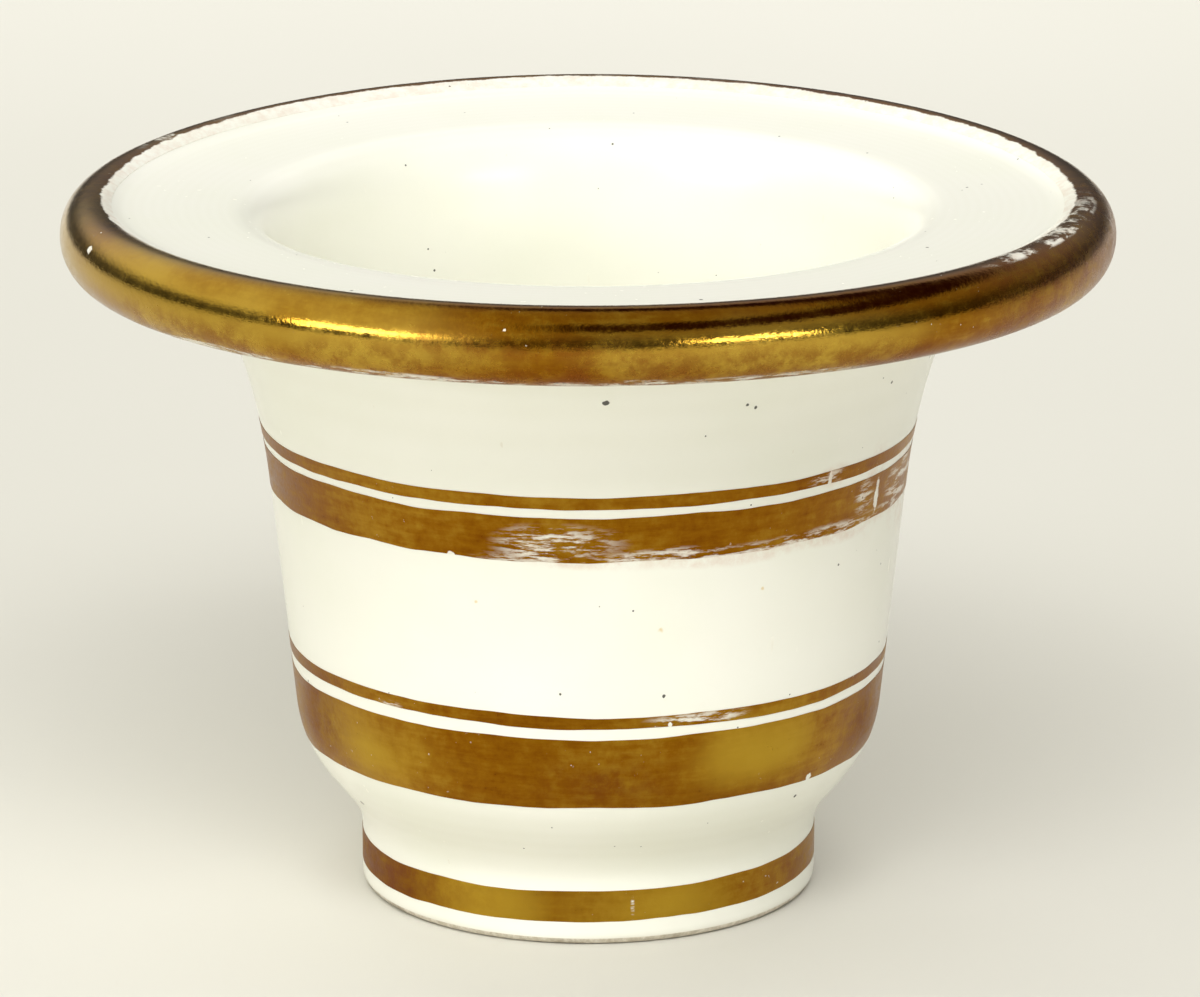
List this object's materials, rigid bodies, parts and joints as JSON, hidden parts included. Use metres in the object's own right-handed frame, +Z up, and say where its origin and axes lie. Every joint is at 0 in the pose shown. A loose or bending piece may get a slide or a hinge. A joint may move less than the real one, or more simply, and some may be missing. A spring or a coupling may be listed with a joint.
{
  "type": "shaving mug",
  "caption": "Handleless porcelain pot for shaving lather: a tapered cup on a short foot, with a broad flanged rim, worn gilding on the rim and gilt bands round the body.",
  "frame": {"origin": "centre of the foot ring's standing face, where the pot meets the table", "axes": "+Z up along the pot's axis of revolution; X and Y are free, because the pot is the same all round"},
  "size_m": [0.1152, 0.1152, 0.0784],
  "materials": {
    "fired_clay": "matte, unglazed",
    "cream_glaze": "gloss",
    "rim_gold": "burnished gilding, worn",
    "band_gold": "satin gilding, worn"
  },
  "bodies": {
    "root": {"clay_body": "fired_clay", "outside_glaze": "cream_glaze", "inside_glaze": "cream_glaze", "underside_glaze": "cream_glaze", "rim_gilding": "rim_gold", "upper_fine_line": "band_gold", "upper_broad_band": "band_gold", "lower_fine_line": "band_gold", "lower_broad_band": "band_gold", "foot_band": "band_gold"}
  },
  "joints": []
}
